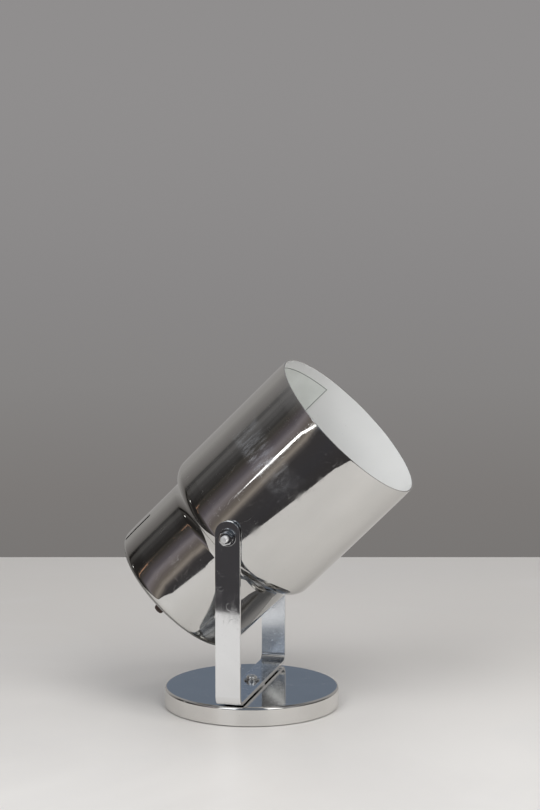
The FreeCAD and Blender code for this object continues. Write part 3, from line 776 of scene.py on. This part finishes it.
def makePivots():
    m4 = hardware["m4"]
    gap = hardware["clearance"]
    bore = m4["shank"] + 0.2
    headSeat = hardware["innerWasherFace"] - hardware["innerWasherGauge"]
    screwEnd = lamp["armOuter"] + hardware["pivotEnd"]
    washerLow = lamp["armOuter"] + gap
    lockLow = washerLow + m4["washerGauge"]
    nutLow = lockLow + m4["lockGauge"]
    flipped = Matrix.Translation((0, 0, headSeat)) @ Matrix.Rotation(math.radians(180), 4, "X")

    def screw():
        return placed(crossScrew(m4, screwEnd - headSeat, m4["threaded"]), flipped)

    sets = {
        "pivotScrews": (screw, whiteZinc, "zinc_hardware", "pivot_screws"),
        "innerWashers": (lambda: ring(hardware["innerWasher"], bore, headSeat, headSeat
                                      + hardware["innerWasherGauge"]), zincPlate, "zinc_hardware", "inner_washers"),
        "pivotSpacers": (lambda: ring(hardware["nylonSpacer"], bore, lamp["shadeRadius"] + gap,
                                      lamp["armOuter"] - lamp["stripGauge"] - gap, 0.2), nylon, "nylon",
                         "pivot_spacers"),
        "pivotWashers": (lambda: ring(m4["washer"], bore, washerLow, lockLow, 0.2), darkNickel, "zinc_hardware",
                         "pivot_washers"),
        "pivotLocks": (lambda: splitWasher(m4, lockLow), darkNickel, "zinc_hardware", "pivot_lock_washers"),
        "pivotNuts": (lambda: hexNut(m4["flats"], m4["shank"], nutLow, nutLow + m4["nutHeight"]), darkNickel,
                      "zinc_hardware", "pivot_nuts"),
    }
    for name, (make, finish, slot, node) in sets.items():
        onHead(bothSides(make), name, finish, node)


def makeCentreScrew():
    size = hardware["centre"]
    washerLow = lamp["stripLow"] + lamp["stripGauge"] + hardware["clearance"]
    seat = washerLow + size["washerGauge"]
    screw = placed(crossScrew(size, seat - size["end"], size["threaded"]), Matrix.Translation((0, 0, seat))
                   @ Matrix.Rotation(math.radians(size["turn"]), 4, "Z"))
    finished(screw, "centreScrew", "foot", [brightZinc], ["centre_screw"])
    washer = ring(size["washer"], size["shank"] + 0.2, washerLow, seat, 0.2)
    finished(washer, "centreWasher", "foot", [zincPlate], ["centre_washer"])


makePivots()
makeCentreScrew()
print("screws made")


# ---- lamp holder, bulb, switch and outlet

holderSizes = {"bracketFront": -37.0, "bracketGauge": 1.2, "bracketWidth": 14.0, "legInner": 14.5, "reach": 26.0,
               "bend": 0.6, "edge": 0.15, "screwAt": 20.5, "tail": 0.8, "radius": 19.0, "length": 32.0,
               "bore": 29.0, "floor": 8.7, "groove": 0.6, "grooveRear": 6.5, "grooveFront": 4.5, "grooveSlope": 0.6}
capSizes = {"radius": 13.1, "low": -25.3, "front": -2.0, "pitch": 3.6, "depth": 0.7}
switchSizes = {"nutFlats": 13.0, "nutHeight": 2.5, "bushing": 9.5, "bushingEnd": -67.6, "shaft": 4.0,
               "clearance": 0.08, "pitch": 0.7, "threadDepth": 0.3}
knobSizes = {"front": -67.9, "tip": -79.4, "root": 3.5, "end": 2.8, "flutes": 12, "fluteDepth": 0.38,
             "collar": 1.5, "steps": 144}
outletSizes = {"flange": 14.0, "flangeGauge": 1.6, "bore": 6.4, "neck": 9.9}


def makeBracket():
    s = holderSizes
    low = rearSizes["rear"] + lamp["wall"]
    gauge = s["bracketGauge"]
    inner = s["legInner"]
    outer = inner + gauge
    reach = s["reach"]
    front = s["bracketFront"]
    small = s["bend"]
    large = small + gauge
    bm = wire([(-reach, low, 0), (-inner, low, large), (-inner, front - gauge, small), (inner, front - gauge, small),
               (inner, low, large), (reach, low, 0), (reach, low + gauge, 0), (outer, low + gauge, small),
               (outer, front, large), (-outer, front, large), (-outer, low + gauge, small),
               (-reach, low + gauge, 0)], closed=True)
    bmesh.ops.contextual_create(bm, geom=bm.edges[:])
    thickened(bm, (0, s["bracketWidth"], 0))
    bmesh.ops.translate(bm, vec=(0, -s["bracketWidth"] / 2, 0), verts=bm.verts[:])
    placed(bm, Matrix.Rotation(math.radians(90), 4, "Z"))
    bmesh.ops.recalc_face_normals(bm, faces=bm.faces[:])
    brokenEdges(bm, s["edge"], 2)
    onHead(bm, "holderBracket", bracketSteel, "socket_bracket")

    m3 = hardware["m3"]
    length = lamp["wall"] + gauge + m3["nutHeight"] + s["tail"]
    screws = []
    nuts = []
    for side in (-1, 1):
        at = Matrix.Translation((0, side * s["screwAt"], 0))
        down = Matrix.Translation((0, 0, rearSizes["rear"])) @ Matrix.Rotation(math.radians(180), 4, "X")
        turn = Matrix.Rotation(math.radians(25 + 40 * side), 4, "Z")
        screws.append(placed(crossScrew(m3, length, length - 1.0), at @ down @ turn))
        nuts.append(placed(hexNut(m3["flats"], m3["shank"], low + gauge, low + gauge + m3["nutHeight"]), at))
    onHead(joined(screws), "bracketScrews", zincPlate, "bracket_screws")
    onHead(joined(nuts), "bracketNuts", zincPlate, "bracket_nuts")


def makeHolder():
    s = holderSizes
    back = s["bracketFront"]
    front = back + s["length"]
    floor = back + s["floor"]
    outer = s["radius"]
    inner = outer - s["groove"]
    rearLip = front - s["grooveRear"]
    frontLip = front - s["grooveFront"]
    slope = s["grooveSlope"]
    body = turned([(0, back, 0), (outer, back, 3.0), (outer, rearLip, 0.4), (inner, rearLip + slope, 0.4),
                   (inner, frontLip - slope, 0.4), (outer, frontLip, 0.4), (outer, front, 1.5),
                   (s["bore"] / 2, front, 0.8), (s["bore"] / 2, floor, 0.3), (0, floor, 0)], 128)
    onHead(body, "lampHolder", porcelain, "socket_body")


def makeBulb():
    s = bulbSizes
    c = capSizes
    glassShape = turned([(0, c["low"] + 4, 0), (s["inCap"], c["low"] + 4, 0), (s["inCap"], c["front"] + 1.2, 0),
                         (s["neck"], c["front"] + 2.4, 0.5), (s["neck"], 4.0, 10.0), (s["radius"], 26.0, 12.0),
                         (s["radius"], 47.0, 10.0), (s["faceRadius"], s["front"], 14.0), (0, s["front"], 0)],
                        s["steps"])
    onHead(glassShape, "bulb", glass, "bulb_glass")
    corners = [(0, c["low"], 0), (4.0, c["low"], 0)]
    floor = c["low"] + 3.0
    for index in range(int((c["front"] - floor) / c["pitch"])):
        station = floor + index * c["pitch"]
        corners.append((c["radius"], station, 0.8))
        corners.append((c["radius"] - c["depth"], station + c["pitch"] / 2, 0.8))
    corners += [(c["radius"], c["front"], 0.15), (11.9, c["front"], 0.1), (11.9, c["front"] - 2, 0)]
    onHead(turned(corners, s["steps"]), "bulbCap", capMetal, "bulb_cap")


def makeSwitch():
    s = switchSizes
    rear = rearSizes["rear"]
    end = s["bushingEnd"]
    outer = s["bushing"] / 2
    bore = s["shaft"] / 2 + s["clearance"]
    nut = hexNut(s["nutFlats"], s["bushing"], rear - s["nutHeight"], rear)
    onHead(nut, "switchNut", zincPlate, "switch_nut")
    corners = [(outer, rear + lamp["wall"], 0)]
    station = rear - s["nutHeight"] - 0.2
    while station > end + 0.9:
        corners.append((outer, station, 0))
        corners.append((outer - s["threadDepth"], station - s["pitch"] / 2, 0))
        station -= s["pitch"]
    corners += [(outer, station, 0), (outer, end, 0.4), (bore, end, 0.15), (bore, rear + lamp["wall"], 0)]
    onHead(turned(corners, 72, closed=True), "switchBushing", brass, "switch_bushing")


def makeKnob():
    s = knobSizes
    bm = turned([(0, s["tip"], 0), (s["end"] * 0.45, s["tip"], 0), (s["end"], s["tip"], 1.2),
                 (s["root"] * 0.95, s["front"] - 4, 0), (s["root"], s["front"] - s["collar"], 0),
                 (s["root"], s["front"], 0.3), (0, s["front"], 0)], s["steps"])
    long = [edge for edge in bm.edges if abs(edge.verts[0].co.z - edge.verts[1].co.z) > 2]
    bmesh.ops.subdivide_edges(bm, edges=long, cuts=8, use_grid_fill=True)
    for vert in bm.verts:
        radius = vert.co.xy.length
        fade = min(1.0, max(0.0, (s["front"] - s["collar"] - vert.co.z) / 0.8))
        if radius > s["end"] * 0.5:
            turn = math.atan2(vert.co.y, vert.co.x) * s["flutes"]
            groove = max(0.0, math.cos(turn)) ** 1.6 * s["fluteDepth"] * fade
            vert.co.xy *= (radius - groove) / radius
    bmesh.ops.recalc_face_normals(bm, faces=bm.faces[:])
    finished(bm, "knob", "knob", [knobBrown], ["switch_knob"], leaned, 50.0)


def makeOutlet():
    s = outletSizes
    rear = rearSizes["rear"]
    inside = rear + lamp["wall"]
    low = rear - s["flangeGauge"]
    high = inside + s["flangeGauge"]
    flange = s["flange"] / 2
    neck = s["neck"] / 2
    bore = s["bore"] / 2
    bm = turned([(bore, low, 0.5), (flange, low, 0.9), (flange, rear, 0.2), (neck, rear, 0), (neck, inside, 0),
                 (flange, inside, 0.2), (flange, high, 0.9), (bore, high, 0.5)], 72, closed=True)
    placed(bm, Matrix.Translation((rearSizes["outletAt"], 0, 0)))
    onHead(bm, "cordGrommet", rubber, "cord_grommet")


def makeLabel():
    s = labelSizes
    radius = lamp["shadeRadius"] - lamp["wall"] - 0.01
    bm = wire([(radius, s["rear"], 0), (radius, s["front"], 0)])
    placed(bm, Matrix.Rotation(math.radians(180 - s["lastAngle"]), 4, "Z"))
    swept(bm, s["lastAngle"] - s["firstAngle"], s["steps"])
    for face in bm.faces:
        face.normal_update()
    inward = bm.faces[:][0]
    if inward.normal.xy.dot(inward.calc_center_median().xy) > 0:
        bmesh.ops.reverse_faces(bm, faces=bm.faces[:])
    bmesh.ops.solidify(bm, geom=bm.faces[:], thickness=-s["thickness"])
    bmesh.ops.recalc_face_normals(bm, faces=bm.faces[:])
    onHead(bm, "blankLabel", paper, "label_blank")


for make in (makeBracket, makeHolder, makeBulb, makeSwitch, makeKnob, makeOutlet, makeLabel):
    make()
print("fittings made")


# ---- pieces that keep their own shape and only get a finish

keptFinishes = {
    "base_weight": castIron, "foot_pad": feltBlack, "centre_lock_washer": zincPlate, "centre_nut": zincPlate,
    "nipple": brass, "nipple_nut": brass, "screw_shell": brass, "centre_contact": brass, "bulb_contact": brass,
    "switch_body": phenolic, "switch_shaft": brass, "switch_leads": leadCover,
}
for node, finish in keptFinishes.items():
    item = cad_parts[node]
    item.data.materials.clear()
    item.data.materials.append(finish)
print("carried-over pieces finished")


# ---- table, room and camera

# the table's edges, and where its two colours lie, are measured along and across the camera's level direction; the
# lighter near colour is painted light, a pool of light painted on the top towards the camera
tableSizes = {"front": -297.0, "back": 411.0, "left": -240.0, "right": 900.0, "thickness": 20.0, "paintedLightFar": 250.0,
              "near": -280.0, "colour": (0.56, 0.535, 0.505), "nearColour": (0.70, 0.68, 0.655),
              "cloud": (0.545, 0.525, 0.505), "vein": (0.60, 0.59, 0.575)}
cameraSizes = {"place": (348.0, -1354.6, 378.8), "look": (-0.2390, 0.9602, -0.1450), "lens": 111.01}
lookAlong = Vector((cameraSizes["look"][0], cameraSizes["look"][1], 0)).normalized()
lookAside = Vector((lookAlong.y, -lookAlong.x, 0))


def makeTable():
    s = tableSizes
    bm = bmesh.new()
    bmesh.ops.create_cube(bm, size=1.0, matrix=Matrix.Diagonal((s["right"] - s["left"], s["back"] - s["front"],
                                                                s["thickness"], 1)))
    turn = Matrix((lookAside, lookAlong, (0, 0, 1))).transposed().to_4x4()
    middle = lookAlong * (s["back"] + s["front"]) / 2 + lookAside * (s["left"] + s["right"]) / 2
    middle.z = -s["thickness"] / 2
    placed(bm, Matrix.Scale(0.001, 4) @ Matrix.Translation(middle) @ turn)
    mesh = shapeOf(bm)
    sheet = Sheet(bpy.data.materials.new("paleTable"))
    point = sheet.point()
    cloud = sheet.noise(point, 3.2, 5.0, 0.55, 0.8)
    grey = sheet.noise(point, 9.0, 4.0, 0.5, 1.2)
    along = sheet.dot(point, lookAlong)
    # painted light: the top runs from its own colour far off to a lighter painted-light colour near the camera
    tint = sheet.mixed(sheet.between(along, s["paintedLightFar"] * 0.001, s["near"] * 0.001), s["colour"], s["nearColour"])
    tint = sheet.mixed(sheet.between(cloud, 0.35, 0.7) * 0.5, tint, s["cloud"])
    tint = sheet.mixed(sheet.between(grey, 0.5, 0.75) * 0.25, tint, s["vein"])
    sheet.set(Base_Color=tint, Roughness=0.42, Normal=sheet.bump(cloud, 0.05, 0.001))
    mesh.materials.append(sheet.owner)
    inScene("table", mesh)


def srgb(red, green, blue):
    def linear(value):
        value /= 255
        return value / 12.92 if value <= 0.04045 else ((value + 0.055) / 1.055) ** 2.4
    return (linear(red), linear(green), linear(blue))


# what stands round the table, to the left and to the right: bearing from the way the camera looks, and colour
leftBands = [(0, (150, 148, 147)), (35, (150, 148, 146)), (44, (135, 133, 131)), (52, (122, 119, 118)),
             (61, (106, 103, 101)), (66, (84, 82, 79)), (67.8, (28, 26, 25)), (72.2, (28, 26, 25)),
             (74.5, (66, 64, 62)), (80, (60, 58, 56)), (84, (42, 40, 39)), (94, (38, 36, 35)), (101, (42, 40, 38)),
             (103, (62, 59, 55)), (107, (60, 57, 53)), (111, (74, 69, 68)), (118, (92, 87, 92)), (123, (126, 120, 123)),
             (127, (118, 111, 111)), (130, (106, 99, 97)), (134, (110, 103, 97)), (138, (146, 138, 130)),
             (142, (84, 80, 79)), (145, (62, 60, 61)), (160, (60, 59, 62)), (180, (66, 63, 64))]
rightBands = [(0, (150, 148, 147)), (48, (146, 144, 142)), (62, (120, 118, 116)), (70, (84, 82, 80)),
              (82, (92, 90, 88)), (95, (70, 68, 66)), (112, (92, 90, 90)), (126, (150, 148, 148)),
              (138, (112, 110, 110)), (146, (66, 64, 64)), (180, (66, 63, 64))]
# the wall as the camera sees it, from low to high, painted darker towards the table as painted shade
wallBands = [(0.0, (118, 116, 114)), (0.17, (124, 121, 119)), (0.41, (133, 131, 130)), (0.64, (137, 135, 135)),
             (1.0, (144, 142, 142))]
roomColours = {"middle": (158, 157, 158), "ceiling": (98, 98, 100), "beyond": (101, 113, 129),
               "behind": (112, 121, 132), "below": (58, 56, 56)}
roomGain = 1.18
# a light bar and small bright things to the left: bearing, height and reach in degrees
lightBar = {"from": 129.6, "to": 141.0, "height": 9.9, "half": 0.75, "colour": (4.0, 4.0, 4.0)}
sparks = [{"bearing": 83.0, "height": 11.0, "wide": 1.2, "tall": 2.5, "colour": (3.0, 3.0, 2.9)},
          {"bearing": 104.4, "height": 13.2, "wide": 0.55, "tall": 6.2, "colour": (0.95, 0.52, 0.33)}]
# two soft windows behind the camera: bearing to the left or right, height, and half their size in degrees
windows = [{"bearing": 147.0, "left": True, "height": 39.0, "wide": 12.0, "tall": 22.0, "colour": (1.60, 1.66, 1.74)},
           {"bearing": 147.0, "left": False, "height": 39.0, "wide": 11.0, "tall": 22.0, "colour": (1.60, 1.60, 1.58)}]


def bandsOf(stops):
    return [(angle / 180, tuple(value * roomGain for value in srgb(*colour))) for angle, colour in stops]


def litPatch(sheet, bearing, height, s, inner, outer):
    # 1 inside an upright oblong of the room, fading to 0 between two shares of its half size
    sideways = abs(bearing - s["bearing"]) / s["wide"]
    upwards = abs(height - s["height"]) / s["tall"]
    return sheet.between(sideways.maths("MAXIMUM", sideways, upwards), inner, outer, 1.0, 0.0)


def makeRoom():
    world = bpy.data.worlds.new("studio")
    bpy.context.scene.world = world
    sheet = Sheet(world, "Background")
    where = sheet.add("ShaderNodeTexCoord", output=0)
    up = sheet.axes(where)[2]
    aside = sheet.dot(where, lookAside)
    height = up.maths("ARCSINE", up) * (180 / math.pi)
    bearing = abs(up.maths("ARCTAN2", aside, sheet.dot(where, lookAlong))) * (180 / math.pi)
    left = sheet.between(aside, -0.01, 0.01, 1.0, 0.0)
    ripple = sheet.noise(where, 9.0, 2.0, 0.5) - 0.5
    uneven = height + ripple * 6.0
    room = sheet.mixed(left, sheet.ramp(bandsOf(rightBands), bearing / 180),
                       sheet.ramp(bandsOf(leftBands), (bearing + ripple * 2.0) / 180))
    layers = {
        "middle": sheet.between(uneven, 20.0, 40.0) * 0.7,
        "ceiling": sheet.between(uneven, 44.0, 58.0),
        "beyond": sheet.between(bearing, 8.0, 15.0, 1.0, 0.0) * sheet.between(height, 8.5, 12.0) * 0.9,
        "behind": sheet.between(bearing, 136.0, 150.0) * sheet.between(height, 4.0, 9.0) * 0.8,
        "below": sheet.between(height, -30.0, -9.0, 1.0, 0.0) * 0.6,
    }
    for name, share in layers.items():
        room = sheet.mixed(share, room, srgb(*roomColours[name]))
    bar = lightBar
    ends = (sheet.between(bearing, bar["from"] - 0.5, bar["from"] + 0.5)
            * sheet.between(bearing, bar["to"] - 3.0, bar["to"] + 0.5, 1.0, 0.0))
    thin = sheet.between(abs(height - bar["height"]), bar["half"] * 0.7, bar["half"] * 1.3, 1.0, 0.0)
    room = sheet.mixed(ends * thin * left, room, bar["colour"])
    for spark in sparks:
        flicker = sheet.between(sheet.noise(where, 260.0, 2.0, 0.6), 0.38, 0.6)
        share = litPatch(sheet, bearing, height, spark, 0.85, 1.1) * left * (0.35 + 0.65 * flicker)
        room = sheet.mixed(share, room, spark["colour"])
    for window in windows:
        side = left if window["left"] else 1.0 - left
        room = sheet.mixed(litPatch(sheet, bearing, height, window, 0.86, 1.08) * side, room, window["colour"])
    wall = sheet.ramp([(place, srgb(*colour)) for place, colour in wallBands], sheet.between(height, -14.0, 0.0))
    path = sheet.add("ShaderNodeLightPath", {}, {}, 0)
    sheet.set(Color=sheet.mixed(path, room, wall), Strength=1.0)


# soft boxes, which the polished metal doesn't show: bearing and height in degrees, metres and watts
lights = {
    "keyBox": {"bearing": 134.0, "height": 52.0, "distance": 1.7, "size": 1.0, "power": 15.2},
    "fillBox": {"bearing": -160.0, "height": 48.0, "distance": 1.7, "size": 0.9, "power": 10.2},
    "mouthBox": {"bearing": 104.0, "height": 12.0, "distance": 1.3, "size": 0.5, "power": 6.2},
    "topBox": {"bearing": 10.0, "height": 78.0, "distance": 1.6, "size": 1.5, "power": 7.4},
}
lightAim = Vector((0, 0, 0.08))


def makeLights():
    for name, s in lights.items():
        light = bpy.data.lights.new(name, "AREA")
        light.shape = "SQUARE"
        light.size = s["size"]
        light.energy = s["power"]
        turn = math.radians(s["bearing"])
        rise = math.radians(s["height"])
        away = Vector((math.sin(turn) * math.cos(rise), math.cos(turn) * math.cos(rise), math.sin(rise)))
        item = inScene(name, light)
        item.visible_glossy = False
        item.location = away * s["distance"] + lightAim
        item.rotation_euler = away.to_track_quat("Z", "Y").to_euler()


def makeCamera():
    data = bpy.data.cameras.new("camera")
    data.lens = cameraSizes["lens"]
    data.clip_start = 0.05
    data.clip_end = 50
    item = inScene("camera", data)
    item.location = Vector(cameraSizes["place"]) * 0.001
    item.rotation_euler = Vector(cameraSizes["look"]).to_track_quat("-Z", "Y").to_euler()
    bpy.context.scene.camera = item


makeTable()
makeRoom()
makeLights()
makeCamera()
bpy.context.scene.view_settings.view_transform = "Standard"
print("room made")
